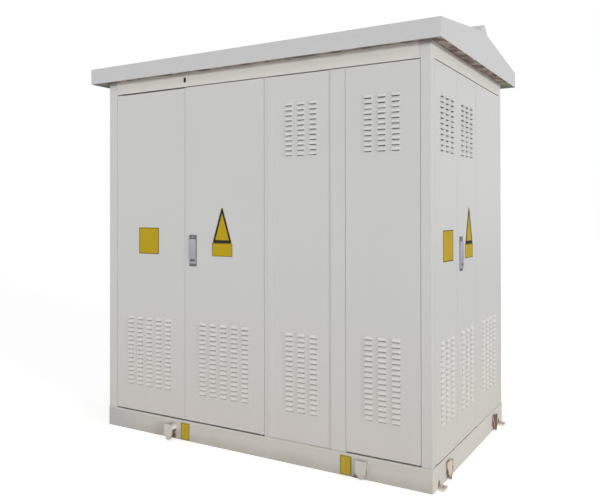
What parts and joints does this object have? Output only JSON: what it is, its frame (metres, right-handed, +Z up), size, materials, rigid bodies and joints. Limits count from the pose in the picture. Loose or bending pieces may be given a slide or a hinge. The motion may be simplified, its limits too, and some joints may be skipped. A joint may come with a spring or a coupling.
{
  "type": "compact substation kiosk",
  "caption": "Pale grey sheet steel kiosk on a channel base, with louvred hinged doors on the front and one end, a low gable roof with a ridge cap, and lifting lugs.",
  "frame": {"origin": "middle of the footprint on the ground, under the centre of the overall box", "axes": "+X to the right along the front, +Y from the front to the back, +Z up; the front with the double door and the single door faces -Y"},
  "size_m": [2.46, 1.595, 2.5623],
  "materials": {
    "body_paint": "satin powder coat, pale warm grey",
    "base_paint": "satin paint over rolled channel, slightly warmer grey",
    "floor_paint": "plain grey primer",
    "roof_paint": "satin powder coat, pale grey",
    "plate_yellow": "flat printed yellow",
    "lock_metal": "dull zinc",
    "rod_steel": "bare steel rod"
  },
  "bodies": {
    "housing": {"base_frame": "base_paint", "floor_plate": "floor_paint", "post_front_left": "body_paint", "post_front_right": "body_paint", "post_back_left": "body_paint", "post_back_right": "body_paint", "mullion_front_narrow": "body_paint", "mullion_front_wide": "body_paint", "mullion_back_narrow": "body_paint", "mullion_back_wide": "body_paint", "header_frame": "body_paint", "rod_front_left": "rod_steel", "rod_front_right": "rod_steel", "rod_front_single": "rod_steel", "rod_end_near": "rod_steel", "rod_end_far": "rod_steel", "front_vent_panel": "body_paint", "end_wide_panel": "body_paint", "back_left_panel": "body_paint", "back_right_panel": "body_paint", "back_vent_panel": "body_paint", "back_single_panel": "body_paint", "left_end_near_panel": "body_paint", "left_end_far_panel": "body_paint", "left_end_wide_panel": "body_paint", "lug_front_left": "base_paint", "lug_front_right": "base_paint", "lug_back_left": "base_paint", "lug_back_right": "base_paint", "lug_end_near": "base_paint", "lug_end_far": "base_paint", "lug_left_end_near": "base_paint", "lug_left_end_far": "base_paint", "soffit": "roof_paint", "roof_shell": "roof_paint", "ridge_cap": "roof_paint"},
    "front_left": {"front_left_leaf": "body_paint", "front_square_plate": "plate_yellow"},
    "front_right": {"front_right_leaf": "body_paint", "front_lock": "lock_metal", "front_triangle_plate": "plate_yellow"},
    "front_single": {"front_single_door": "body_paint"},
    "end_near": {"end_near_leaf": "body_paint", "end_square_plate": "plate_yellow"},
    "end_far": {"end_far_leaf": "body_paint", "end_lock": "lock_metal", "end_triangle_plate": "plate_yellow"}
  },
  "joints": [
    {"name": "front_left_hinge", "type": "hinge", "parent": "housing", "child": "front_left", "pos_m": [-1.0505, -0.699, 1.185], "axis": [0, 0, -1], "range_deg": [0, 110]},
    {"name": "front_right_hinge", "type": "hinge", "parent": "housing", "child": "front_right", "pos_m": [0.0945, -0.699, 1.185], "axis": [0, 0, 1], "range_deg": [0, 110]},
    {"name": "front_single_hinge", "type": "hinge", "parent": "housing", "child": "front_single", "pos_m": [1.0635, -0.699, 1.185], "axis": [0, 0, 1], "range_deg": [0, 110]},
    {"name": "end_near_hinge", "type": "hinge", "parent": "housing", "child": "end_near", "pos_m": [1.1415, -0.636, 1.185], "axis": [0, 0, -1], "range_deg": [0, 110]},
    {"name": "end_far_hinge", "type": "hinge", "parent": "housing", "child": "end_far", "pos_m": [1.1415, 0.071, 1.185], "axis": [0, 0, 1], "range_deg": [0, 110]}
  ]
}
